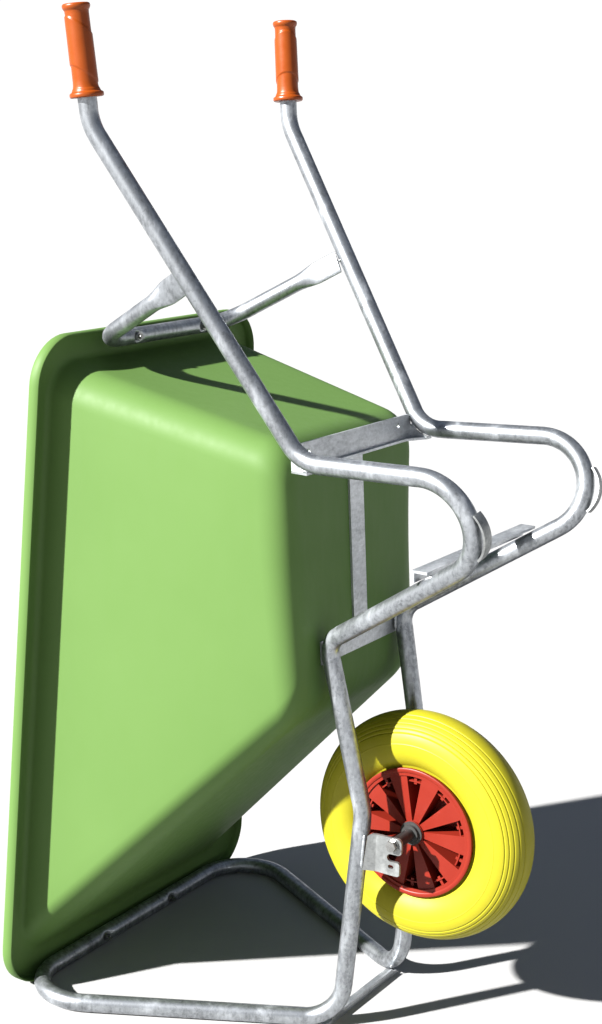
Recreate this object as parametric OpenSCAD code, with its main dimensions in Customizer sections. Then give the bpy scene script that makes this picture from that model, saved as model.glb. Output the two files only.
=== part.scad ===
// Farm wheelbarrow with a plastic tray, stood on its nose against nothing: the
// base loop lies on the floor, the grips point up and the tray opening faces -X.
// Units are millimetres. Turn the whole part 90 degrees about Y for the working pose.

/* [Frame tube] */
// Outside diameter of the bent frame tube
tube_d = 30; // [25:35]
// Wall thickness of the frame tube
tube_wall = 2; // [1.5:0.5:4]
// Height of the top end of the tubes above the floor
tube_top = 1658; // [1500:1700]
// Bend radius below each grip
r_handle = 90; // [60:120]
// Bend radius where handle meets leg
r_rear = 60; // [50:90]
// Bend radius of the foot of each leg
r_foot = 80; // [60:90]
// Bend radius where leg meets fork
r_front = 40; // [35:60]
// Bend radius of the slight kink in the fork
r_kink = 120; // [80:160]
// Bend radius at the tip of the base loop
r_tip = 68; // [50:90]
// Bend radius at the wide corners of the base loop
r_corner = 90; // [60:110]

/* [Tray] */
// Wall thickness of the moulded tray
tray_t = 5; // [3:8]
// Half width of the rim at the front end
rim_front_w = 350; // [320:370]
// Half width of the rim at the rear end
rim_rear_w = 300; // [280:340]
// Depth of the turned-down lip around the rim
lip_h = 20; // [12:26]
// Thickness of the turned-down lip
lip_t = 5; // [3:7]
// Outside corner radius of the rim
rim_r = 82; // [50:100]
// Half width of the tray floor
floor_w = 205; // [180:230]
// Half width of the tray body under the rim
mouth_w = 276; // [260:285]
// Rounding of the tray's floor edges
tray_r = 42; // [25:60]

/* [Wheel] */
// Height of the axle above the floor
axle_z = 355; // [340:370]
// Outside diameter of the tyre
tyre_d = 394; // [380:400]
// Width of the tyre section
tyre_w = 98; // [80:104]
// Diameter of the rim's flanges
wheel_rim_d = 221; // [210:240]
// Number of spokes on each face of the rim
spokes = 10; // [6:12]
// Outside diameter of the axle tube
axle_d = 20; // [16:25]

/* [Grips] */
// Length of each grip
grip_l = 139; // [120:150]
// Diameter of the grip body
grip_d = 38; // [35:42]
// Diameter of the lower collar
collar_d = 53; // [45:58]

/* [Fasteners] */
// Thread diameter of the tray bolts
bolt_d = 8; // [6:10]
// Spacing of the rear pair of tray bolts
rear_bolt_s = 184; // [150:220]
// Spacing of the front pair of tray bolts
front_bolt_s = 196; // [150:220]
// Thread diameter of the axle bolt
axle_bolt_d = 12; // [10:16]

/* [Hidden] */
$fn = 64;
e = 0.1;
ring_e = 0.06;
tr = tube_d / 2;
axle_x = 219;
bracket_x = 222;
stay_d = 28;
bracket_t = 5;
bracket_y = 97;
shoe_a = 92;
// Centreline corners of the left half of the frame tube, from grip to base loop
grip_top = [-271, -284, tube_top];
handle_c = [-253, -275, 1484];
rear_c = [86, -188, 983];
foot_c = [592, -233, 1005];
front_c = [97, -119, 681];
kink_c = [159, -99, 395];
tip_c = [124, -100, tr];
wide_c = [-397, -378, tr];
mid_c = [-397, 0, tr];
half_path = [grip_top, handle_c, rear_c, foot_c, front_c, kink_c, tip_c, wide_c, mid_c];
half_r = [0, r_handle, r_rear, r_foot, r_front, r_kink, r_tip, r_corner, 0];
// Rear stay under the back of the rim
stay_x = -318;
stay_z = 1136;
stay_path = [[-116, -221, 1249], [stay_x, -178, stay_z], [stay_x, 178, stay_z], [-116, 221, 1249]];
stay_r = [0, 60, 60, 0];
// Rim plane: X of the rim's top face at height z
rim_x0 = -419;
rim_x1 = -362;
rim_z0 = 2;
rim_z1 = 1150;
rim_tilt = atan2(rim_x1 - rim_x0, rim_z1 - rim_z0);
floor_x0 = 90;
floor_x1 = 62.5;
floor_z0 = 570;
floor_z1 = 1004;
mouth_z0 = 58;
mouth_z1 = 1104;
floor_tilt = atan2(floor_x0 - floor_x1, floor_z1 - floor_z0);

steel = "silver";
green = "forestgreen";
orange = "darkorange";

// ---- helpers ----

function unit(v) = v / norm(v);
function flip(p) = [p[0], -p[1], p[2]];
function turn(a, b, c) = acos(min(1, max(-1, unit(a - b) * unit(c - b))));
function setback(a, b, c, r) = r <= 0 ? 0 : r / tan(turn(a, b, c) / 2);
function arc_c(a, b, c, r) =
  b + unit(unit(a - b) + unit(c - b)) * r / sin(turn(a, b, c) / 2);

// Straight rod between two points
module rod(a, b, r) {
  v = b - a;
  translate(a) rotate([0, acos(v[2] / norm(v)), atan2(v[1], v[0])]) cylinder(r = r, h = norm(v));
}

// Places its child so that +X is u and +Z is n
module aim(u, n) {
  v = cross(n, u);
  rotate([atan2(v[2], n[2]), asin(-u[2]), atan2(u[1], u[0])]) children();
}

// Round bend at corner b on the way from a to c
module bend(a, b, c, r, tube_r) {
  k = arc_c(a, b, c, r);
  p = b + unit(a - b) * setback(a, b, c, r);
  n = unit(cross(b - a, c - b));
  translate(k) aim(unit(p - k), n)
    rotate_extrude(angle = 180 - turn(a, b, c)) translate([r, 0]) circle(r = tube_r);
}

// Solid round bar along a path with rounded corners, with a hairline ring at each joint
module bar(pts, rad, r) {
  last = len(pts) - 1;
  back = [for (i = [0:last]) (i == 0 || i == last) ? 0
    : setback(pts[i - 1], pts[i], pts[i + 1], rad[i])];
  for (i = [0:last - 1]) {
    d = unit(pts[i + 1] - pts[i]);
    a = pts[i] + d * back[i];
    b = pts[i + 1] - d * back[i + 1];
    rod(a, b, r);
    if (i > 0) rod(a - d * 1.5, a + d * 1.5, r + ring_e);
    if (i < last - 1) rod(b - d * 1.5, b + d * 1.5, r + ring_e);
  }
  for (i = [1:last - 1]) if (rad[i] > 0) bend(pts[i - 1], pts[i], pts[i + 1], rad[i], r);
}

module both() {
  children();
  mirror([0, 1, 0]) children();
}

// Points of a rounded corner at b on the way from a to c
function corner(a, b, c, r, n = 8) = let (
  t = turn(concat(a, 0), concat(b, 0), concat(c, 0)),
  k = b + unit(unit(a - b) + unit(c - b)) * r / sin(t / 2),
  p = b + unit(a - b) * r / tan(t / 2) - k,
  s = cross(b - a, c - b) > 0 ? 1 : -1)
  [for (i = [0:n]) let (w = s * (180 - t) * i / n)
    k + [p[0] * cos(w) - p[1] * sin(w), p[0] * sin(w) + p[1] * cos(w)]];

// Rounded trapezium with its rear edge at v = l and its front edge at v = 0
module trapezium(l, w0, w1, r) {
  f1 = [w0, 0];
  b1 = [w1, l];
  f2 = [-w0, 0];
  b2 = [-w1, l];
  polygon(concat(corner(f2, f1, b1, r), corner(f1, b1, b2, r), corner(b1, b2, f2, r),
    corner(b2, f2, f1, r)));
}

// Places a plan drawn as (Y, height along the rim) on the rim's top face, growing towards +X
module on_rim() {
  translate([rim_x0, 0, rim_z0]) rotate([0, rim_tilt, 0]) rotate([90, 0, 90]) children();
}

// ---- frame ----

// Zinc vent hole on the outer side of the foot bend, above the shoe
module vent() {
  k = arc_c(rear_c, foot_c, front_c, r_foot);
  p = foot_c + unit(rear_c - foot_c) * setback(rear_c, foot_c, front_c, r_foot);
  n = unit(cross(foot_c - rear_c, front_c - foot_c));
  translate(k) aim(unit(p - k), n) rotate([0, 0, 56]) translate([r_foot, 0, 0])
    rotate([0, n[1] < 0 ? 35 : 145, 0]) cylinder(r = 2.6, h = 24);
}

module frame_tube() color(steel) difference() {
  union() {
    both() bar(half_path, half_r, tr);
  }
  both() bar([grip_top + unit(grip_top - handle_c) * 2, handle_c, rear_c, foot_c, front_c, kink_c,
    tip_c, wide_c, [-397, -front_bolt_s / 2 - 18, tr]], half_r, tr - tube_wall);
  translate([-397, -front_bolt_s / 2 + 18, tr]) rotate([-90, 0, 0])
    cylinder(r = tr - tube_wall, h = front_bolt_s - 36);
  both() {
    translate([-397, -front_bolt_s / 2, tr]) rotate([0, 90, 0]) {
      translate([0, 0, 8]) cylinder(r = 12, h = 20);
      translate([0, 0, -20]) cylinder(r = bolt_d / 2 + 0.5, h = 40);
    }
    vent();
  }
}

module stay_end() {
  d = unit(stay_path[0] - stay_path[1]);
  translate(stay_path[0]) aim(unit(cross([0, 0, 1], d)), d) translate([0, 0, -22])
    cube([38, 9, 44], center = true);
}

module rear_stay() color(steel) difference() {
  union() {
    bar(stay_path, stay_r, stay_d / 2);
    both() stay_end();
  }
  translate([stay_x, -rear_bolt_s / 2 + 18, stay_z]) rotate([-90, 0, 0])
    cylinder(r = stay_d / 2 - tube_wall, h = rear_bolt_s - 36);
  both() {
    translate([stay_x, -rear_bolt_s / 2, stay_z]) rotate([0, 90, 0]) {
      translate([0, 0, 8]) cylinder(r = 11, h = 20);
      translate([0, 0, -20]) cylinder(r = bolt_d / 2 + 0.5, h = 40);
    }
    bar([stay_path[1] + unit(stay_path[0] - stay_path[1]) * 160, stay_path[1],
      [stay_x, -rear_bolt_s / 2 - 18, stay_z]], [0, 60, 0], stay_d / 2 - tube_wall);
  }
}

// Places its child on the outside of the tray floor: +X out of it, -Z down it, from its top edge
module on_floor() translate([floor_x1 + e, 0, floor_z1]) rotate([0, -floor_tilt, 0]) children();

module rear_cross_angle() color(steel) on_floor() difference() {
  union() {
    rotate([90, 0, 90]) linear_extrude(4)
      polygon([[-184, -40], [184, -40], [184, -18], [174, 3], [-174, 3], [-184, -18]]);
    translate([0, 0, -40]) linear_extrude(4) polygon([[0, -184], [36, -196], [36, -184],
      [12, -150], [12, 150], [36, 184], [36, 196], [0, 184]]);
    both() translate([0, -180, 0]) rotate([90, 0, 0]) linear_extrude(4) polygon([[3, -40], [36, -40],
      [36, -34.6], [28, -31.8], [20, -27.8], [12, -22.4], [3, -15]]);
  }
  both() translate([-1, -139, -12]) rotate([0, 90, 0]) cylinder(r = 4.5, h = 20);
}

module tray_strap() color(steel) on_floor() translate([0, -21, -326 + e])
  cube([4, 42, 286 - 2 * e]);

module front_cross_plate() color(steel) on_floor() translate([0, -121, -365])
  cube([2.3, 242, 39]);

module leg_cross_angle() color(steel) {
  translate([283, -184, 840]) cube([26, 368, 4]);
  translate([283, -184, 824.6]) cube([4, 368, 19.4]);
}

module tip_bar() color(steel) {
  translate([89, -116, 0]) cube([21, 232, 3.5]);
  translate([106.5, 0, 0]) rotate([90, 0, 90]) linear_extrude(3.5)
    polygon([[-116, 0], [116, 0], [116, 6], [101, 8], [101, 13.5], [-101, 13.5], [-101, 8], [-116, 6]]);
}

// Bowed wear strip outside the foot bend of the left leg, its ends welded to the tube
module shoe() color(steel) {
  k = arc_c(rear_c, foot_c, front_c, r_foot);
  p = foot_c + unit(rear_c - foot_c) * setback(rear_c, foot_c, front_c, r_foot);
  n = unit(cross(foot_c - rear_c, front_c - foot_c));
  translate(k) aim(unit(p - k), n) rotate([0, 0, shoe_a]) translate([53, 0, 0])
    rotate([0, 0, -44.5]) rotate_extrude(angle = 89) translate([50, -9]) square([3.5, 18]);
}

module skid_shoe_left() shoe();
module skid_shoe_right() mirror([0, 1, 0]) shoe();

// Side outline of an axle bracket in X and Z from the axle
function bracket_face() = concat([[-55.5, -54], [-49, 6], [-44, 10]],
  corner([-44, 11], [12, 12], [12, -16], 8, 4), corner([12, 12], [12, -16], [-8, -17], 6, 4),
  [for (a = [90:20:270]) [-8 + 6.5 * cos(a), -23.5 + 6.5 * sin(a)]],
  corner([-8, -30], [9, -29], [9, -54], 5, 4), corner([9, -29], [9, -54], [-36, -52], 5, 4));

// Bent plate: a flat face beside the wheel and a flange that leans out to the tube
module bracket() color(steel) translate([bracket_x, 0, axle_z]) intersection() {
  translate([0, 5 - bracket_y, 0]) rotate([90, 0, 0]) linear_extrude(30) difference() {
    polygon(bracket_face());
    translate([axle_x - bracket_x, 0]) circle(r = axle_bolt_d / 2 + 0.25);
    for (s = [-2, 2]) translate([-7 + s, -39]) circle(r = 3.2);
    translate([-7, -39]) square([4, 6.4], center = true);
  }
  translate([0, -bracket_y, -60]) linear_extrude(80) polygon([[14, -bracket_t], [14, 0], [-37, 0],
    [-58.8, -8.6], [-57, -13.3], [-36, -bracket_t]]);
}

module axle_bracket_left() bracket();
module axle_bracket_right() mirror([0, 1, 0]) bracket();

// ---- tray ----

// Corner b moved in by d from both of its edges
function inset(a, b, c, d) = b + unit(unit(a - b) + unit(c - b)) * d
  / sin(turn(concat(a, 0), concat(b, 0), concat(c, 0)) / 2);

// Shape open on one side, with two rounded floor corners k1 and k2 and wall directions d1 and d2
module pan(k1, k2, d1, d2, d, l) {
  i1 = inset(k2, k1, k1 + d1, d);
  i2 = inset(k2 + d2, k2, k1, d);
  polygon(concat([i2 + d2 * l], corner(i2 + d2, i2, i1, tray_r - d), corner(i2, i1, i1 + d1,
    tray_r - d), [i1 + d1 * l]));
}

// Side outline of the tray body in X and Z, shrunk by d
module side_outline(d) {
  k1 = [floor_x1, floor_z1];
  k2 = [floor_x0, floor_z0];
  pan(k1, k2, unit([rim_x1, mouth_z1] - k1), unit([rim_x0, mouth_z0] - k2), d, 760);
}

// Cross outline of the tray body in X and Y from the floor, shrunk by d
module cross_outline(d) {
  w = unit([-460, mouth_w - floor_w]);
  pan([0, floor_w], [0, -floor_w], w, [w[0], -w[1]], d, 560);
}

module tray_core(d) intersection() {
  translate([0, 400, 0]) rotate([90, 0, 0]) linear_extrude(800) side_outline(d);
  translate([floor_x1, 0, floor_z1]) rotate([0, -floor_tilt, 0]) translate([0, 0, -1100])
    linear_extrude(1300) cross_outline(d);
}

module tray() color(green) {
  l = (rim_z1 - rim_z0) / cos(rim_tilt);
  difference() {
    union() {
      difference() {
        tray_core(0);
        on_rim() translate([-600, -200]) translate([0, 0, -600])
          cube([1200, 1600, 602]);
      }
      on_rim() linear_extrude(tray_t - 1) trapezium(l, rim_front_w, rim_rear_w, rim_r);
      difference() {
        on_rim() linear_extrude(lip_h) difference() {
          trapezium(l, rim_front_w, rim_rear_w, rim_r);
          translate([0, lip_t]) trapezium(l - 2 * lip_t, rim_front_w - lip_t, rim_rear_w - lip_t,
            rim_r - lip_t);
        }
        translate([-414, -300, 0]) cube([60, 600, 40]);
      }
      both() translate([rim_x1, -rear_bolt_s / 2, stay_z]) rotate([0, 90, 0])
        cylinder(r = 13, h = stay_x - stay_d / 2 - rim_x1 - e);
    }
    tray_core(tray_t);
    both() {
      translate([rim_x1 - 10, -rear_bolt_s / 2, stay_z]) rotate([0, 90, 0])
        cylinder(r = bolt_d / 2 + 0.4, h = 60);
      translate([-430, -front_bolt_s / 2, tr]) rotate([0, 90, 0])
        cylinder(r = bolt_d / 2 + 0.4, h = 30);
    }
  }
}

// ---- grips ----

module grip() {
  d = unit(grip_top - handle_c);
  color(orange) translate(grip_top) aim(unit(cross([0, 1, 0], d)), d)
    translate([0, 0, 5 - grip_l]) difference() {
      union() {
        cylinder(d = grip_d, h = grip_l);
        cylinder(d = collar_d, h = 7);
        translate([0, 0, 7]) cylinder(d = grip_d + 6, h = 4);
        translate([0, 0, grip_l - 6]) cylinder(d = grip_d + 5, h = 6);
        translate([0, 0, 30]) cylinder(d = grip_d + 2, h = 76);
      }
      translate([0, 0, -1]) cylinder(d = tube_d + 0.1, h = grip_l - 4 + e);
    }
}

module grip_left() grip();
module grip_right() mirror([0, 1, 0]) grip();

// ---- fasteners ----

module cup_bolt(l) {
  cylinder(d = bolt_d, h = l);
  difference() {
    translate([0, 0, 2.5]) sphere(r = 9.5);
    translate([-15, -15, 0]) cube([30, 30, 20]);
    translate([-15, -15, -25]) cube([30, 30, 20.5]);
  }
}

module hex_nut() difference() {
  cylinder(d = bolt_d * 1.85, h = bolt_d * 0.8, $fn = 6);
  translate([0, 0, -1]) cylinder(d = bolt_d + e, h = bolt_d);
}

module tray_bolts_rear() color(steel) both()
  translate([rim_x1 - 1.6, -rear_bolt_s / 2, stay_z]) rotate([0, 90, 0]) cup_bolt(64);
module tray_bolts_front() color(steel) both()
  translate([-419.5, -front_bolt_s / 2, tr]) rotate([0, 90, 0]) cup_bolt(44);
module tray_nuts_rear() color(steel) both()
  translate([stay_x + 8.1, -rear_bolt_s / 2, stay_z]) rotate([0, 90, 0]) hex_nut();
module tray_nuts_front() color(steel) both()
  translate([-397 + 8.1, -front_bolt_s / 2, tr]) rotate([0, 90, 0]) hex_nut();

// ---- axle ----

module at_axle() translate([axle_x, 0, axle_z]) rotate([90, 0, 0]) children();

module axle_tube() color("dimgray") at_axle() difference() {
  cylinder(d = axle_d, h = 2 * (bracket_y - e), center = true);
  cylinder(d = axle_bolt_d + e, h = 220, center = true);
}

module axle_bolt() color(steel) at_axle() {
  translate([0, 0, -118]) cylinder(d = axle_bolt_d, h = 118 + bracket_y + bracket_t + 3);
  translate([0, 0, bracket_y + bracket_t + 2.6]) cylinder(d = 18.5, h = 7.5, $fn = 6);
}

module axle_washers() color(steel) at_axle() for (s = [-1, 1])
  translate([0, 0, s * (bracket_y + bracket_t + 1.3)]) difference() {
    cylinder(d = 21, h = 2.4, center = true);
    cylinder(d = axle_bolt_d + 1, h = 4, center = true);
  }

module axle_nut() color(steel) at_axle() translate([0, 0, -115]) difference() {
  cylinder(d = 18.5, h = 10.3, $fn = 6);
  translate([0, 0, -1]) cylinder(d = axle_bolt_d + e, h = 13);
}

// ---- wheel ----

module tyre() color("gold") at_axle() rotate_extrude() difference() {
  union() {
    translate([tyre_d / 2 - tyre_w / 2, 0]) circle(r = tyre_w / 2);
    translate([104 + e, -37]) square([40, 74]);
  }
  translate([60, -60]) square([44 + e, 120]);
  for (a = [-54, -36, -18, 18, 36, 54])
    translate([tyre_d / 2 - tyre_w / 2 + (tyre_w / 2 + 0.6) * cos(a), (tyre_w / 2 + 0.6) * sin(a)])
      circle(r = 2.2);
  for (s = [-1, 1]) translate([102, s * 44]) square([24, 16], center = true);
}

module spoke() linear_extrude(80, center = true)
  polygon([[18, -5], [88, -15.5], [99, -16.5], [99, 16.5], [88, 15.5], [18, 5]]);

module wheel_rim() color("crimson") at_axle() difference() {
  union() {
    rotate_extrude() polygon([[98, -42], [wheel_rim_d / 2, -42], [wheel_rim_d / 2, -37.2],
      [104, -36], [104, 36], [wheel_rim_d / 2, 37.2], [wheel_rim_d / 2, 42], [98, 42]]);
    cylinder(r = 100, h = 8, center = true);
    cylinder(r = 21, h = 86, center = true);
    for (i = [0:spokes - 1]) rotate([0, 0, i * 360 / spokes]) intersection() {
      spoke();
      rotate_extrude() polygon([[0, -42], [30, -42], [99, -39.5], [99, 39.5], [30, 42], [0, 42]]);
    }
    for (i = [0:spokes - 1]) rotate([0, 0, (i + 0.5) * 360 / spokes])
      translate([92, 0, 0]) cube([18, 5, 70], center = true);
  }
  cylinder(r = 17 - e / 2, h = 120, center = true);
}

module bush() color("black") at_axle() difference() {
  union() {
    translate([0, 0, 8]) cylinder(r = 16.9, h = 36);
    translate([0, 0, 43.1]) cylinder(r = 20, h = 2);
  }
  cylinder(d = axle_d + 0.1, h = 120);
}

module ring() color("black") at_axle() translate([0, 0, 45.5]) difference() {
  cylinder(r = 15, h = 5);
  translate([0, 0, -1]) cylinder(d = axle_d + 0.02, h = 8);
}

module hub_bush_left() bush();
module hub_bush_right() mirror([0, 1, 0]) bush();
module hub_ring_left() ring();
module hub_ring_right() mirror([0, 1, 0]) ring();

frame_tube();
rear_stay();
rear_cross_angle();
tray_strap();
front_cross_plate();
leg_cross_angle();
tip_bar();
skid_shoe_left();
skid_shoe_right();
axle_bracket_left();
axle_bracket_right();
tray();
grip_left();
grip_right();
tray_bolts_rear();
tray_bolts_front();
tray_nuts_rear();
tray_nuts_front();
axle_tube();
axle_bolt();
axle_washers();
axle_nut();
tyre();
wheel_rim();
hub_bush_left();
hub_bush_right();
hub_ring_left();
hub_ring_right();
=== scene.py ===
import bpy
import numpy as np
from mathutils import Matrix


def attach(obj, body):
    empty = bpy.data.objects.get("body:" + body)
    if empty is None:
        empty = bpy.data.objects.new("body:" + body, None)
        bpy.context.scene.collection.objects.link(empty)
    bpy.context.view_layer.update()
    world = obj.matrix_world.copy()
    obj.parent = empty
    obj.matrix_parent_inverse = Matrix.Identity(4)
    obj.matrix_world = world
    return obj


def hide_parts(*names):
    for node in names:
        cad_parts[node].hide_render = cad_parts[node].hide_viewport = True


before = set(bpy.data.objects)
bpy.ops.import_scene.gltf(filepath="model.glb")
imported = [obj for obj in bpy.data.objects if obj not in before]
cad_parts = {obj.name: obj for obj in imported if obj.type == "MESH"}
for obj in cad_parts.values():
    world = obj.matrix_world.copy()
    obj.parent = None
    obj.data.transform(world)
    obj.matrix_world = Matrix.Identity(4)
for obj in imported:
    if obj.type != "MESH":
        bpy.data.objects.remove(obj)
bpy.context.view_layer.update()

# ---------------------------------------------------------------- room
# A plain studio: one wide pale floor, a surround that is white low down and dim blue-grey higher
# up, one hard key light from high on the left, and the camera at the viewer's place.
scene = bpy.context.scene
scene.view_settings.view_transform = "Standard"
scene.view_settings.look = "None"
scene.view_settings.exposure = 0.0


def placed(name, data, *columns):
    """Puts a camera or a lamp in the scene, with its right, up and back directions and its
    place as the columns of its matrix."""
    thing = bpy.data.objects.new(name, data)
    matrix = Matrix.Identity(4)
    for row in range(3):
        for column, axis in enumerate(columns):
            matrix[row][column] = axis[row]
    thing.matrix_world = matrix
    scene.collection.objects.link(thing)
    return thing


eye = np.array([1.507, -2.373, 1.517])
azimuth, elevation, roll = np.radians([33.03, 13.19, 0.91])
back = np.array([np.sin(azimuth) * np.cos(elevation), -np.cos(azimuth) * np.cos(elevation),
                 np.sin(elevation)])
level = np.array([np.cos(azimuth), np.sin(azimuth), 0.0])
upright = np.cross(back, level)
right = np.cos(roll) * level + np.sin(roll) * upright
up = np.cos(roll) * upright - np.sin(roll) * level
lens = bpy.data.cameras.new("viewer")
lens.lens = 60.890625  # millimetres, on a sensor 36 mm high
lens.clip_end = 200
scene.camera = placed("viewer", lens, right, up, back, eye)

# The key light travels away from the viewer's left and down.
key_travel = np.array([0.436, 0.731, -0.525])
key_travel /= np.linalg.norm(key_travel)
key_side = np.cross([0, 0, 1], -key_travel)
key_side /= np.linalg.norm(key_side)
key = bpy.data.lights.new("key", "SUN")
key.energy = 18.0
key.color = (1.0, 0.985, 0.96)
key.angle = np.radians(1.6)
placed("key", key, key_side, np.cross(-key_travel, key_side), -key_travel,
       np.array([0, 0, 0.8]) - key_travel * 4)

surround = bpy.data.worlds.new("surround")
surround.use_nodes = True
sky_nodes = surround.node_tree.nodes
sky_links = surround.node_tree.links
towards = sky_nodes.new("ShaderNodeTexCoord")
height_of = sky_nodes.new("ShaderNodeSeparateXYZ")
glow = sky_nodes.new("ShaderNodeValToRGB")
white, dusk, top_of_sky = (1.0, 1.0, 1.0), (0.12, 0.14, 0.18), (0.15, 0.18, 0.24)
glow.color_ramp.elements[0].color = (*white, 1.0)
glow.color_ramp.elements[1].color = (*top_of_sky, 1.0)
for place, tone in ((0.07, white), (0.22, dusk)):
    glow.color_ramp.elements.new(place).color = (*tone, 1.0)
sky_links.new(towards.outputs["Generated"], height_of.inputs[0])
sky_links.new(height_of.outputs["Z"], glow.inputs["Fac"])
sky_links.new(glow.outputs["Color"], sky_nodes["Background"].inputs["Color"])
sky_nodes["Background"].inputs["Strength"].default_value = 1.05
scene.world = surround


class Tone:
    """One value in a material. Arithmetic on it adds Math nodes."""

    def __init__(self, finish, socket):
        self.finish, self.socket = finish, socket

    def __add__(self, other):
        return self.finish.add("ShaderNodeMath", {"operation": "ADD"}, self, other)

    def __mul__(self, other):
        return self.finish.add("ShaderNodeMath", {"operation": "MULTIPLY"}, self, other)


class Finish:
    """A material in the making: add() puts in any node, wear() sets the shader's sockets."""

    def __init__(self, name):
        self.material = bpy.data.materials.new(name)
        self.material.use_nodes = True
        self.tree = self.material.node_tree
        self.shader = self.tree.nodes["Principled BSDF"]
        self.place = self.add("ShaderNodeTexCoord", {}, out="Object")

    def put(self, socket, value):
        if isinstance(value, Tone):
            self.tree.links.new(value.socket, socket)
        elif hasattr(socket.default_value, "__len__") and len(value) == 3 and \
                len(socket.default_value) == 4:
            socket.default_value = (*value, 1.0)
        else:
            socket.default_value = value

    def add(self, kind, settings, *values, out=0, **named):
        node = self.tree.nodes.new(kind)
        for key, value in settings.items():
            setattr(node, key, value)
        for socket, value in zip(node.inputs, values):
            self.put(socket, value)
        for key, value in named.items():
            self.put(node.inputs[key.replace("_", " ")], value)
        return Tone(self, node.outputs[out])

    def noise(self, scale, detail=3.0, rough=0.55, squeeze=(1, 1, 1), seed=0.0):
        """Cloudy noise from 0 to 1 of the given scale per metre, squeezed along the axes."""
        mapped = self.add("ShaderNodeMapping", {}, self.place,
                          Scale=tuple(scale * s for s in squeeze), Location=(seed, seed, seed))
        return self.add("ShaderNodeTexNoise", {}, out="Fac", Vector=mapped, Scale=1.0,
                        Detail=detail, Roughness=rough)

    def flakes(self, scale, seed):
        """A random grey for each Voronoi cell, with the given number of cells per metre."""
        mapped = self.add("ShaderNodeMapping", {}, self.place, Location=(seed, seed, seed))
        colour = self.add("ShaderNodeTexVoronoi", {}, out="Color", Vector=mapped, Scale=scale)
        return self.add("ShaderNodeSeparateColor", {}, colour)

    def ramp(self, value, *stops):
        """A colour for each value: black at 0, white at 1, and the given stops between."""
        colour = self.add("ShaderNodeValToRGB", {}, value, out="Color")
        for place, tone in stops:
            colour.socket.node.color_ramp.elements.new(place).color = (*tone, 1.0)
        return colour

    def spread(self, value, low, high, at_low, at_high):
        """Maps low..high of a value to at_low..at_high, held at both ends."""
        return self.add("ShaderNodeMapRange", {}, value, From_Min=low, From_Max=high,
                        To_Min=at_low, To_Max=at_high)

    def mixed(self, factor, first, second):
        node = self.tree.nodes.new("ShaderNodeMix")
        node.data_type = "RGBA"
        self.put(node.inputs[0], factor)
        self.put(node.inputs[6], first)
        self.put(node.inputs[7], second)
        return Tone(self, node.outputs[2])

    def bump(self, height, strength, distance):
        return self.add("ShaderNodeBump", {}, out="Normal", Height=height, Strength=strength,
                        Distance=distance)

    def wear(self, **sockets):
        for key, value in sockets.items():
            self.put(self.shader.inputs[key.replace("_", " ")], value)
        return self.material


floor_reach = 60.0
floor_finish = Finish("pale floor")
floor_finish.wear(Base_Color=(0.34, 0.34, 0.34), Roughness=1.0, Specular_IOR_Level=0.0)
floor_mesh = bpy.data.meshes.new("floor")
floor_mesh.from_pydata([(-floor_reach, -floor_reach, 0), (floor_reach, -floor_reach, 0),
                        (floor_reach, floor_reach, 0), (-floor_reach, floor_reach, 0)], [],
                       [(0, 1, 2, 3)])
floor_mesh.materials.append(floor_finish.material)
floor = bpy.data.objects.new("floor", floor_mesh)
scene.collection.objects.link(floor)

# ---------------------------------------------------------------- frame tube
# One length of round steel tube, bent cold in a plane at each corner and hot-dip galvanised after
# welding. It runs from grip to grip through handles, legs, fork arms and the loop on the floor.


def unit(vector):
    return vector / np.linalg.norm(vector, axis=-1, keepdims=True)


def corner_arc(before, corner, after, radius):
    """An arc that rounds a corner: its centre, its first and its last point as seen from there,
    and the angle between them. The straight lines of the corner touch it at those points."""
    to_before, to_after = unit(before - corner), unit(after - corner)
    half = np.arccos(np.clip(to_before @ to_after, -1, 1)) / 2
    centre = corner + unit(to_before + to_after) * radius / np.sin(half)
    first = corner + to_before * radius / np.tan(half) - centre
    last = corner + to_after * radius / np.tan(half) - centre
    return centre, first, last, np.pi - 2 * half


def along_arc(centre, first, last, swept, share):
    """Points at the given shares of an arc: its two ends mixed by the sines of their angles."""
    return centre + (np.sin((1 - share) * swept) * first + np.sin(share * swept) * last) \
        / np.sin(swept)


def rounded_path(corners, radii, step, turn_step):
    """Points along straight runs joined by circular arcs of the given radii, with how strongly
    each point bends (one over the radius) beside them. step is the distance between points on a
    run, turn_step the angle between points on an arc."""
    corners = [np.asarray(corner, float) for corner in corners]
    points, bends, start = [], [], corners[0]
    for before, corner, after, radius in zip(corners[:-2], corners[1:-1], corners[2:], radii):
        centre, first, last, swept = corner_arc(before, corner, after, radius)
        leave = centre + first
        count = max(2, int(np.linalg.norm(leave - start) / step))
        points.append(start + (leave - start) * np.linspace(0, 1, count, endpoint=False)[:, None])
        bends.append(np.zeros(count))
        count = max(4, int(np.degrees(swept) / turn_step))
        share = np.linspace(0, 1, count, endpoint=False)[:, None]
        points.append(along_arc(centre, first, last, swept, share))
        bends.append(np.full(count, 1 / radius))
        start = centre + last
    count = max(2, int(np.linalg.norm(corners[-1] - start) / step))
    points.append(start + (corners[-1] - start) * np.linspace(0, 1, count + 1)[:, None])
    bends.append(np.zeros(count + 1))
    return np.vstack(points), np.concatenate(bends)


def travelled_along(points):
    """How far along a path each of its points lies."""
    return np.concatenate([[0], np.cumsum(np.linalg.norm(np.diff(points, axis=0), axis=1))])


def carried_frames(points, first_side):
    """Two side directions at every point of a path: the first is the last one turned as little as
    the path's own turn allows, and the second is square to it."""
    along = unit(np.gradient(points, axis=0))
    side = unit(np.asarray(first_side, float) - along[0] * (np.asarray(first_side) @ along[0]))
    sides = [side]
    for direction in along[1:]:
        side = unit(side - direction * (side @ direction))
        sides.append(side)
    sides = np.array(sides)
    return sides, np.cross(along, sides)


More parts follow.
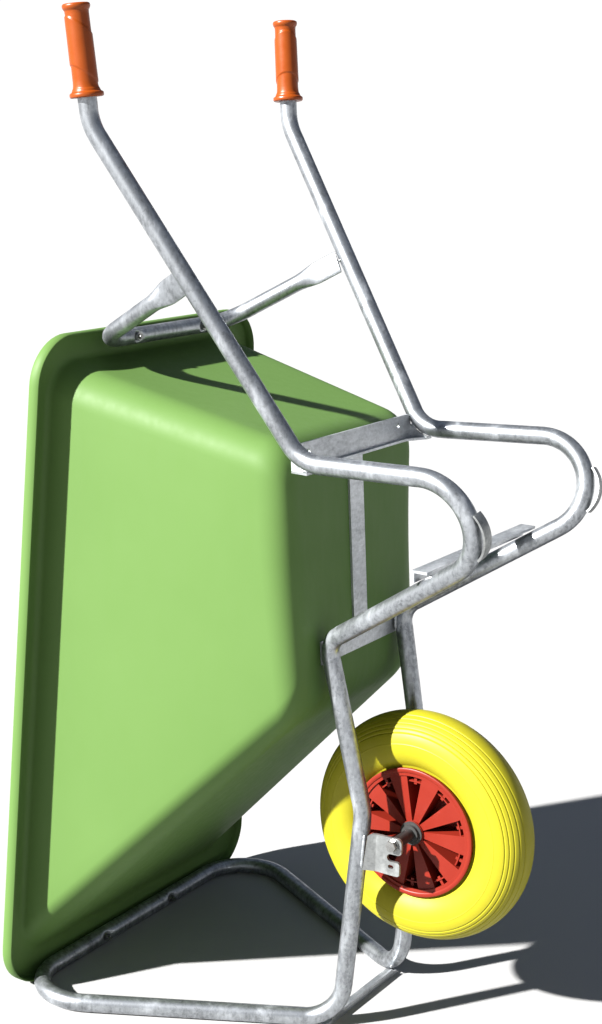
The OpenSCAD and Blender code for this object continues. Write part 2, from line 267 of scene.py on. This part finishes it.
def carried_ring(points, first_side, widths, depths, around):
    """A ring of points carried along a path: an ellipse of the given half width along the first
    side direction and half depth along the second."""
    sides, others = carried_frames(points, first_side)
    angle = np.linspace(0, 2 * np.pi, around, endpoint=False)
    widths = np.broadcast_to(widths, len(points))[:, None, None]
    depths = np.broadcast_to(depths, len(points))[:, None, None]
    return points[:, None] + sides[:, None] * np.cos(angle)[None, :, None] * widths \
        + others[:, None] * np.sin(angle)[None, :, None] * depths


def pressed(grid, spot, inward, depth, reach):
    """Pushes points near a spot along a direction: most at the spot, fading to nothing."""
    away = np.linalg.norm(grid - np.asarray(spot), axis=-1)
    amount = depth * np.exp(-(away / reach) ** 4)
    return grid + amount[..., None] * unit(np.asarray(inward, float))


def surface(name, grid, material, body, closed_v=False, ends=(), smooth=60, flip=False,
            stands_for=()):
    """A skin over a grid of points, with quads between neighbours: each row is a closed ring, and
    with closed_v the last row joins the first. ends names the rows ("first", "last") that are
    closed with a fan to their middle point. Edges that fold more than smooth degrees are sharp.
    The skin becomes one piece, tied to its body."""
    grid = np.asarray(grid, float)
    rows, columns = grid.shape[:2]
    points = grid.reshape(-1, 3)
    v = np.arange(rows if closed_v else rows - 1)[:, None]
    u = np.arange(columns)[None, :]
    a = v * columns + u
    b = v * columns + (u + 1) % columns
    c = ((v + 1) % rows) * columns + (u + 1) % columns
    d = ((v + 1) % rows) * columns + u
    faces = np.stack([a, b, c, d], -1).reshape(-1, 4).tolist()
    for end in ends:
        row = 0 if end == "first" else rows - 1
        points = np.vstack([points, grid[row].mean(0)])
        hub = len(points) - 1
        first = np.arange(columns) + row * columns
        second = (np.arange(columns) + 1) % columns + row * columns
        order = (second, first) if end == "first" else (first, second)
        faces += np.stack([*order, np.full(columns, hub)], -1).tolist()
    if flip:
        faces = [face[::-1] for face in faces]
    mesh = bpy.data.meshes.new(name)
    mesh.from_pydata(points.tolist(), [], faces)
    mesh.update()
    mesh.materials.append(material)
    mesh.polygons.foreach_set("use_smooth", np.ones(len(mesh.polygons), bool))
    if smooth < 180:
        mesh.set_sharp_from_angle(angle=np.radians(smooth))
    piece = bpy.data.objects.new(name, mesh)
    scene.collection.objects.link(piece)
    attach(piece, body)
    if stands_for:
        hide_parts(*stands_for)


def galvanised(name, base, streak=(1, 1, 1), shine=0.30, grain=1.0, contrast=1.0):
    """Hot-dip zinc: soft grey clouds drawn out along the piece, pale runs, dull smears, specks."""
    zinc = Finish(name)
    clouds = zinc.noise(16, 4, 0.60, streak, seed=3.0)
    patches = zinc.noise(150, 5, 0.70, streak, seed=8.0)
    flakes = zinc.flakes(210, seed=1.0)
    runs = zinc.noise(34, 5, 0.68, streak, seed=5.0)
    mottling = clouds * 0.38 + patches * 0.52 + flakes * 0.10
    dark = tuple(channel * (1 - 0.42 * contrast) for channel in base)
    light = tuple(min(1.0, channel * (1 + 0.38 * contrast)) for channel in base)
    body = zinc.ramp(mottling, (0.36, dark), (0.50, base), (0.66, light))
    smear = zinc.spread(runs, 0.56, 0.72, 0.0, 0.55 * contrast)
    colour = zinc.mixed(smear, body, tuple(min(1.0, channel * 1.55) for channel in base))
    roughness = zinc.spread(mottling, 0.35, 0.70, shine + 0.14, shine - 0.05)
    metal = zinc.spread(runs, 0.50, 0.72, 0.90, 0.62)
    specks = zinc.noise(520 * grain, 3, 0.7, seed=5.0)
    height = mottling * 0.5 + specks * 0.16 + smear * 0.3
    return zinc.wear(Base_Color=colour, Roughness=roughness, Metallic=metal,
                     Normal=zinc.bump(height, 0.32, 0.0011))


tube_finish = galvanised("galvanised tube", (0.315, 0.333, 0.355), streak=(0.9, 1, 0.30),
                         shine=0.31, contrast=1.15)
tube_radius = 0.015
grip_end = np.array([-0.271, -0.284, 1.658])
handle_bend = np.array([-0.253, -0.275, 1.484])
rear_bend = np.array([0.086, -0.188, 0.983])
foot_bend = np.array([0.592, -0.233, 1.005])
front_bend = np.array([0.097, -0.119, 0.681])
fork_kink = np.array([0.159, -0.099, 0.395])
loop_tip = np.array([0.124, -0.100, tube_radius])
loop_corner = np.array([-0.397, -0.378, tube_radius])
other_side = np.array([1, -1, 1])
half = [grip_end, handle_bend, rear_bend, foot_bend, front_bend, fork_kink, loop_tip,
        loop_corner]
half_radii = [0.090, 0.060, 0.080, 0.040, 0.120, 0.068, 0.090]
tube_path, tube_bends = rounded_path(half + [corner * other_side for corner in half[::-1]],
                                     half_radii + half_radii[::-1], step=0.006, turn_step=3.0)
# Each bend leaves the tube a little thinner, and a tight bend more so.
thinned = tube_radius * (1 - 0.0011 * tube_bends)
tube_grid = carried_ring(tube_path, (1, 0, 0), thinned, thinned, 44)
front_bolt = 0.098
for side in (-1, 1):
    dent = loop_corner * (1, 0, 1) + np.array([tube_radius, side * front_bolt, 0])
    tube_grid = pressed(tube_grid, dent, (-1, 0, 0), depth=0.006, reach=0.011)
surface("frame_tube_bent", tube_grid, tube_finish, "frame",
        ends=("first", "last"), stands_for=("frame_tube",))

# ---------------------------------------------------------------- rear stay
# A second bent tube that carries the back of the tray: its middle run lies under the rim and is
# crushed flat at two screws, and its ends are pressed flat and welded to the handles.
stay_radius = 0.014
stay_x, stay_z, stay_half, rear_bolt = -0.318, 1.136, 0.178, 0.092
stay_end = np.array([-0.112, 0.223, 1.252])
stay_corners = [stay_end * other_side, (stay_x, -stay_half, stay_z),
                (stay_x, stay_half, stay_z), stay_end]
stay_path, _ = rounded_path(stay_corners, [0.060, 0.060], step=0.004, turn_step=4.0)
travelled = travelled_along(stay_path)
to_end = np.minimum(travelled, travelled[-1] - travelled)
flat_length, fade_length, thinner, wider = 0.040, 0.050, 0.0105, 0.0065
flat = 1 - np.clip((to_end - flat_length) / fade_length, 0, 1)
flat = flat * flat * (3 - 2 * flat)
stay_grid = carried_ring(stay_path, (0, 1, 0.2), stay_radius - flat * thinner,
                         stay_radius + flat * wider, 40)
for side in (-1, 1):
    stay_grid = pressed(stay_grid, (stay_x + stay_radius, side * rear_bolt, stay_z), (-1, 0, 0),
                        depth=0.007, reach=0.010)
surface("rear_stay_bent", stay_grid, tube_finish, "frame",
        ends=("first", "last"), stands_for=("rear_stay",))

# ---------------------------------------------------------------- cross members
# Angle, strap and channel cut from rolled or folded steel, welded between the two halves of the
# tube and galvanised with it, so they have the same zinc skin with a flatter grain. The cross
# members get a lighter grey than the tube as painted light on members that face away from the key
# light, and the axle brackets and shoes a darker grey as painted shade where the key light falls
# full on them.


def dress(node, material):
    """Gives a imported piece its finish."""
    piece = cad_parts[node]
    if not piece.material_slots:
        piece.data.materials.append(material)
    for patch in piece.material_slots:
        patch.material = material


def soften(node, width):
    """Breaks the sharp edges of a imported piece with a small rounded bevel."""
    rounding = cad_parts[node].modifiers.new("broken edges", "BEVEL")
    rounding.width = width
    rounding.segments = 2
    rounding.limit_method = "ANGLE"
    rounding.angle_limit = np.radians(38)
    rounding.harden_normals = False


# This grey is painted lighter than the zinc's own, as painted light on the cross members and weld
# beads that lie in shade.
plate_finish_painted_light = galvanised("galvanised plate with painted light", (0.47, 0.49, 0.51), streak=(1, 0.35, 1),
                          shine=0.40, contrast=0.6)
# This grey is painted darker than the zinc's own, as painted shade on the axle brackets and shoes
# that face the key light.
bracket_finish_painted_shade = galvanised("galvanised bracket with painted shade", (0.27, 0.28, 0.28), shine=0.42, contrast=0.8)
# Axle brackets and shoes take the painted-shade grey, and the other members take the painted-light
# grey.
for member in ("rear_cross_angle", "tray_strap", "front_cross_plate", "leg_cross_angle",
               "tip_bar", "skid_shoe_left", "skid_shoe_right", "axle_bracket_left",
               "axle_bracket_right"):
    dress(member, bracket_finish_painted_shade if "axle" in member or "shoe" in member else plate_finish_painted_light)
    soften(member, 0.0007)

# ---------------------------------------------------------------- weld beads
# Thin rippled beads of weld metal laid by hand where the stay, the cross members, the axle
# brackets and the shoes meet the tube, galvanised over with the rest of the frame. They wear the
# cross members' lighter grey, which is painted light.


def weld_bead(name, first, last, radius, seed):
    """A round bead from one point to another, moved out onto the skin of the frame tube. Its half
    thickness swells and shrinks in small even ripples with a little unevenness, and it tapers to
    a point at both ends."""
    share = np.linspace(0, 1, 24)[:, None]
    points = first * (1 - share) + last * share
    gaps = np.linalg.norm(points[:, None] - tube_path[None], axis=-1)
    nearest = tube_path[gaps.argmin(1)]
    points = nearest + unit(points - nearest) * tube_radius
    travelled = travelled_along(points)
    ring_gap, ripple, taper_length, knots = 0.0011, 0.0034, 0.004, 9
    at = np.linspace(0, travelled[-1], max(10, int(travelled[-1] / ring_gap)))
    line = np.stack([np.interp(at, travelled, points[:, axis]) for axis in range(3)], -1)
    uneven = np.interp(at, np.linspace(0, travelled[-1], knots),
                       np.random.default_rng(seed).normal(0, 0.12, knots))
    swell = 1 + 0.10 * np.sin(at / ripple * 2 * np.pi) + uneven
    taper = np.clip(np.minimum(at, travelled[-1] - at) / taper_length, 0.12, 1) ** 0.5
    thickness = radius * swell * taper
    surface(name, carried_ring(line, (0.3, 0.2, 1), thickness, thickness, 12), plate_finish_painted_light,
            "frame", ends=("first", "last"))


# On each side: the upright and the flat of the rear angle, the front plate, the leg angle, the
# shoe and the axle bracket, each with where its bead starts and ends and the bead's half
# thickness; then two beads along the flattened end of the stay.
weld_lines = [((0.0665, 0.176, 0.966), (0.0665, 0.180, 0.988), 0.0024),
              ((0.067, 0.190, 0.966), (0.100, 0.197, 0.967), 0.0024),
              ((0.089, 0.1035, 0.676), (0.090, 0.1035, 0.644), 0.0024),
              ((0.285, 0.190, 0.846), (0.307, 0.190, 0.846), 0.0022),
              ((0.107, 0.104, 0.0145), (0.110, 0.085, 0.0135), 0.0020),
              ((0.168, 0.1085, 0.362), (0.163, 0.1075, 0.303), 0.0027)]
for side, seed in ((-1, 10), (1, 20)):
    mirror = np.array([1, side, 1])
    for index, (first, last, radius) in enumerate(weld_lines):
        weld_bead(f"weld_bead_{seed + index}", first * mirror, last * mirror, radius, seed + index)
    for index, edge in enumerate((-0.012, 0.012)):
        weld_bead(f"stay_weld_{seed + index}",
                  (stay_end + np.array([-0.030, edge - 0.004, -0.018])) * mirror,
                  (stay_end + np.array([0.004, edge, 0.004])) * mirror, 0.0024, seed + 7 + index)

# ---------------------------------------------------------------- tray
# One deep moulding in green plastic, of even wall, with every edge well rounded, and a flat
# flange round its mouth that turns down into a lip.
green = Finish("moulded green plastic")
shade = green.noise(5, 3, 0.5, seed=2.0)
scuffs = green.noise(60, 5, 0.7, (1, 1, 0.25), seed=7.0)
green_colour = green.mixed(shade, (0.074, 0.142, 0.034), (0.086, 0.158, 0.042))
fine = green.noise(900, 2, 0.5, seed=4.0)
green.wear(Base_Color=green_colour, Specular_IOR_Level=0.18,
           Roughness=green.spread(scuffs, 0.35, 0.75, 0.50, 0.62),
           Normal=green.bump(fine * 0.6 + scuffs * 0.4, 0.12, 0.0008))


def tray_loop(front_z, rear_z, front_half, rear_half, front_x, rear_x, front_r, rear_r,
              run=26, turn=12):
    """A closed line round the tray: a trapezium between a front and a rear edge with rounded
    corners, tipped so that its front and rear edges lie at their own X. It starts at the front
    corner on +Y and goes on by the rear, with run steps on each edge and turn steps on each
    corner."""
    corners = np.array([[-front_half, front_z], [front_half, front_z], [rear_half, rear_z],
                        [-rear_half, rear_z]])
    arcs = []
    for i, radius in enumerate((front_r, front_r, rear_r, rear_r)):
        arc = corner_arc(corners[i - 1], corners[i], corners[(i + 1) % 4], radius)
        arcs.append(along_arc(*arc, np.linspace(0, 1, turn + 1)[:, None]))
    share = np.linspace(0, 1, run + 1)[1:-1, None]
    flat_loop = []
    for i in (1, 2, 3, 0):
        start, end = arcs[i][-1], arcs[(i + 1) % 4][0]
        flat_loop += [arcs[i], start + (end - start) * share]
    flat_loop = np.vstack(flat_loop)
    y, z = flat_loop.T
    x = front_x + (rear_x - front_x) * (z - front_z) / (rear_z - front_z)
    return np.stack([x, y, z], -1)


def soft_corner(before, corner, after, reach, steps):
    """A rounded fold between two skins: a parabola that leaves the first and joins the second at
    the given distance from their shared edge."""
    leave = corner + unit(before - corner) * reach
    join = corner + unit(after - corner) * reach
    share = np.linspace(0, 1, steps + 1)[:, None, None]
    return (1 - share) ** 2 * leave + 2 * share * (1 - share) * corner + share ** 2 * join


def between(first, second, *shares):
    """Lines at the given shares of the way from one line to another."""
    return np.array([first * (1 - share) + second * share for share in shares])


rim_front_z, rim_rear_z, rim_front_half, rim_rear_half = 0.002, 1.150, 0.350, 0.300
rim_front_x, rim_rear_x = -0.419, -0.362
mouth_front_z, mouth_rear_z, mouth_front_half, mouth_rear_half = 0.056, 1.104, 0.304, 0.258
floor_front_z, floor_rear_z, floor_front_half, floor_rear_half = 0.570, 1.004, 0.192, 0.210
core_front_z, core_rear_z, core_half = 0.780, 0.800, 0.012
wall, lip_depth = 0.0045, 0.021


def rim_x(z):
    """X of the flange at a height: on a straight line from its front edge to its rear edge."""
    return rim_front_x + (rim_rear_x - rim_front_x) * (z - rim_front_z) \
        / (rim_rear_z - rim_front_z)


def floor_x(z):
    """X of the outside of the tray's floor at a height: it slopes by 63 mm in a metre."""
    return 0.0625 + (floor_rear_z - z) * 0.0634


inward = np.array([-1, 0, 0])
core = tray_loop(core_front_z, core_rear_z, core_half, core_half, floor_x(core_front_z),
                 floor_x(core_rear_z), 0.004, 0.004)
floor_edge = tray_loop(floor_front_z, floor_rear_z, floor_front_half, floor_rear_half,
                       floor_x(floor_front_z), floor_x(floor_rear_z), 0.050, 0.050)
mouth = tray_loop(mouth_front_z, mouth_rear_z, mouth_front_half, mouth_rear_half,
                  rim_x(mouth_front_z), rim_x(mouth_rear_z), 0.055, 0.060)
rim_top = tray_loop(rim_front_z, rim_rear_z, rim_front_half, rim_rear_half, rim_front_x,
                    rim_rear_x, 0.082, 0.082)
lip_end = rim_top - lip_depth * inward
lip_inner_end = tray_loop(rim_front_z + wall, rim_rear_z - wall, rim_front_half - wall,
                          rim_rear_half - wall, rim_front_x + lip_depth,
                          rim_rear_x + lip_depth, 0.078, 0.078)
lip_inner_top = lip_inner_end + (lip_depth - wall) * inward
mouth_under = mouth - wall * inward
core_in = core + wall * inward
floor_edge_in = tray_loop(floor_front_z + wall, floor_rear_z - wall, floor_front_half - wall,
                          floor_rear_half - wall, floor_x(floor_front_z) - wall,
                          floor_x(floor_rear_z) - wall, 0.046, 0.046)
mouth_in = tray_loop(mouth_front_z + wall, mouth_rear_z - wall, mouth_front_half - wall,
                     mouth_rear_half - wall, rim_x(mouth_front_z), rim_x(mouth_rear_z),
                     0.051, 0.056)
outer_rows = [core[None], between(core, floor_edge, 0.6),
              soft_corner(core, floor_edge, mouth_under, 0.050, 10),
              between(floor_edge, mouth_under, 0.25, 0.5, 0.75),
              soft_corner(floor_edge, mouth_under, lip_inner_top, 0.012, 6),
              soft_corner(mouth_under, lip_inner_top, lip_inner_end, 0.004, 3)]
lip_rows = [between(lip_inner_end, lip_end, 0.5) - 0.0012 * inward, lip_end[None],
            soft_corner(lip_end, rim_top, mouth_in, 0.005, 4)]
inner_rows = [soft_corner(rim_top, mouth_in, floor_edge_in, 0.014, 6),
              between(mouth_in, floor_edge_in, 0.25, 0.5, 0.75),
              soft_corner(mouth_in, floor_edge_in, core_in, 0.048, 10),
              between(core_in, floor_edge_in, 0.6), core_in[None]]
tray_rows = np.concatenate(outer_rows + lip_rows + inner_rows)
surface("tray_moulding", tray_rows, green.material, "frame",
        ends=("first", "last"), smooth=180, stands_for=("tray",))

# ---------------------------------------------------------------- grips
# Two soft orange plastic handles, pushed over the tube ends: a wide stop collar below, a small
# lip above, and a raised palm panel between two slanting steps.
orange = Finish("orange grip plastic")
grime = orange.noise(45, 4, 0.6, seed=1.0)
orange_colour = orange.mixed(grime, (0.196, 0.032, 0.0018), (0.240, 0.047, 0.0030))
orange.wear(Base_Color=orange_colour, Specular_IOR_Level=0.28,
            Roughness=orange.spread(grime, 0.3, 0.7, 0.30, 0.42),
            Normal=orange.bump(orange.noise(800, 3, 0.6), 0.10, 0.0008))

# Height above the foot of the grip and radius there: collar, neck, body, lip and closed end.
grip_profile = np.array([
    (0.000, 0.0160), (0.000, 0.0245), (0.0015, 0.0262), (0.0045, 0.0265), (0.0070, 0.0258),
    (0.0082, 0.0235), (0.0095, 0.0222), (0.0120, 0.0215), (0.0145, 0.0200), (0.0180, 0.0194),
    (0.0240, 0.0190), (0.0900, 0.0186), (0.1240, 0.0184), (0.1285, 0.0188), (0.1310, 0.0205),
    (0.1330, 0.0214), (0.1355, 0.0217), (0.1378, 0.0210), (0.1390, 0.0190), (0.1390, 0.0)])
grip_length, past_tube = grip_profile[-1, 0], 0.005
body_low, body_high, body_rings = 0.024, 0.124, 90
panel_low, panel_high, panel_rise = 0.034, 0.108, 0.0014
slant, slant_turn, step_width = 0.014, 0.6, 0.0022


def grip(name, side, node):
    """A turned body about the tube's end: radius from the profile, plus a raised panel between
    two steps that slant round the body."""
    mirror = np.array([1, side, 1])
    top, bottom = grip_end * mirror, handle_bend * mirror
    axis = unit(top - bottom)
    foot = top + axis * (past_tube - grip_length)
    across = unit(np.cross(axis, np.array([0, 1.0, 0])))
    other = np.cross(axis, across)
    # Three rings to each step of the profile, and many close rings on the body.
    rings = np.concatenate([np.linspace(low, high, 3, endpoint=False) for low, high in
                            zip(grip_profile[:-1], grip_profile[1:])] + [grip_profile[-1:]])
    body = np.linspace(body_low, body_high, body_rings)
    body_radius = np.interp(body, grip_profile[6:14, 0], grip_profile[6:14, 1])
    rings = np.concatenate([rings[rings[:, 0] <= body_low - 0.0005],
                            np.stack([body, body_radius], -1),
                            rings[rings[:, 0] >= body_high + 0.0002]])
    angle = np.linspace(0, 2 * np.pi, 96, endpoint=False)
    height, radius = rings[:, 0:1], rings[:, 1:2]
    shift = slant * np.sin(angle[None, :] + slant_turn * side)
    above_low = np.clip((height - (panel_low + shift)) / step_width, 0, 1)
    below_high = np.clip(((panel_high + shift) - height) / step_width, 0, 1)
    full = radius + (above_low * below_high) ** 0.8 * panel_rise
    grid = foot + height[..., None] * axis + full[..., None] * (
        np.cos(angle)[None, :, None] * across + np.sin(angle)[None, :, None] * other)
    surface(name, grid, orange.material, "frame", smooth=45, stands_for=(node,))


grip("grip_moulding_left", 1, "grip_left")
grip("grip_moulding_right", -1, "grip_right")

# ---------------------------------------------------------------- wheel
# A puncture-proof tyre of yellow foam with fine grooves moulded round its shoulders, on a red
# plastic rim with wedge spokes and rolled edges, turning on two black bushes.
axle = np.array([0.219, 0.0, 0.355])


def turned(profile, turns):
    """A profile of (radius, height along the axle) turned once round the axle."""
    angle = np.linspace(0, 2 * np.pi, turns, endpoint=False)
    radius, along = profile[:, 0:1], profile[:, 1:2]
    return axle + np.stack([radius * np.cos(angle), along + 0 * angle, radius * np.sin(angle)],
                           -1)


yellow = Finish("yellow foam tyre")
blush = yellow.noise(14, 3, 0.5, seed=6.0)
dirt = yellow.noise(70, 5, 0.7, seed=9.0)
yellow_colour = yellow.mixed(dirt, (0.262, 0.236, 0.0085), (0.288, 0.264, 0.012))
yellow.wear(Base_Color=yellow_colour, Specular_IOR_Level=0.22,
            Roughness=yellow.spread(blush, 0.3, 0.7, 0.42, 0.56),
            Normal=yellow.bump(yellow.noise(600, 3, 0.6), 0.08, 0.0008))
# The tyre's section is a circle, open towards the axle. Angles on it are in degrees from the
# middle of the tread: five grooves on each shoulder, and a low ridge on each side wall.
section = np.radians(np.linspace(-158, 158, 317))
tyre_mid, tyre_half, rim_seat, bead_radius, bead_half = 0.148, 0.049, 0.1125, 0.1045, 0.034
relief = np.zeros_like(section)
for place, height, width in ((20, -0.0013, 0.85), (32, -0.0013, 0.85), (43, -0.0013, 0.85),
                             (53, -0.0013, 0.85), (62, -0.0013, 0.85), (84, 0.0005, 0.8)):
    for side in (-1, 1):
        relief += height * np.exp(-(((np.degrees(section) - side * place) / width) ** 2))
tyre_profile = np.stack([tyre_mid + (tyre_half + relief) * np.cos(section),
                         (tyre_half + relief) * np.sin(section)], -1)
tyre_profile = np.vstack([tyre_profile[tyre_profile[:, 0] > rim_seat],
                          [[bead_radius, bead_half], [bead_radius, -bead_half]]])
surface("tyre_foam", turned(tyre_profile, 180), yellow.material, "wheel",
        closed_v=True, smooth=50, flip=True, stands_for=("tyre",))

red = Finish("red rim plastic")
fade = red.noise(30, 3, 0.5, seed=2.0)
red_colour = red.mixed(fade, (0.142, 0.0105, 0.0052), (0.170, 0.0155, 0.0080))
red.wear(Base_Color=red_colour, Specular_IOR_Level=0.20, Roughness=0.38,
         Normal=red.bump(red.noise(700, 3, 0.6), 0.08, 0.0008))
dress("wheel_rim", red.material)
soften("wheel_rim", 0.0009)
# A rolled edge on each flange, and a thin wall that closes the outer ends of the spoke pockets.
rolled_edge = np.array([(0.1035, 0.0385), (0.1108, 0.0385), (0.1108, 0.0430), (0.1095, 0.0438),
                        (0.1045, 0.0438), (0.1035, 0.0430)])
for side, tag in ((-1, "left"), (1, "right")):
    surface(f"rim_edge_{tag}", turned(rolled_edge * (1, side), 144), red.material, "wheel",
            closed_v=True, smooth=50, flip=side > 0)
pocket_wall = np.array([(0.0870, -0.0365), (0.0893, -0.0365), (0.0893, 0.0365), (0.0870, 0.0365)])
surface("rim_pocket_wall", turned(pocket_wall, 144), red.material, "wheel",
        closed_v=True, smooth=30, flip=True)

black = Finish("black bush plastic")
black.wear(Base_Color=black.mixed(black.noise(200, 3), (0.012, 0.012, 0.012),
                                  (0.035, 0.035, 0.034)), Roughness=0.5,
           Normal=black.bump(black.noise(900, 2), 0.1, 0.0006))
for node in ("hub_bush_left", "hub_bush_right", "hub_ring_left", "hub_ring_right"):
    dress(node, black.material)

# ---------------------------------------------------------------- axle and fasteners
# A dark steel spacer tube between the brackets, a zinc-plated bolt through it, and cup-head bolts
# with nuts that hold the tray to the stay and to the loop.
dark = Finish("dark axle steel")
dark.wear(Base_Color=dark.mixed(dark.noise(150, 4), (0.02, 0.02, 0.021), (0.07, 0.068, 0.065)),
          Roughness=0.42, Metallic=0.6, Normal=dark.bump(dark.noise(500, 3), 0.15, 0.0006))
dress("axle_tube", dark.material)
plated = galvanised("bright zinc plating", (0.25, 0.25, 0.245), shine=0.26, grain=0.6)
for node in ("tray_bolts_rear", "tray_bolts_front", "tray_nuts_rear", "tray_nuts_front",
             "axle_bolt", "axle_washers", "axle_nut"):
    dress(node, plated)
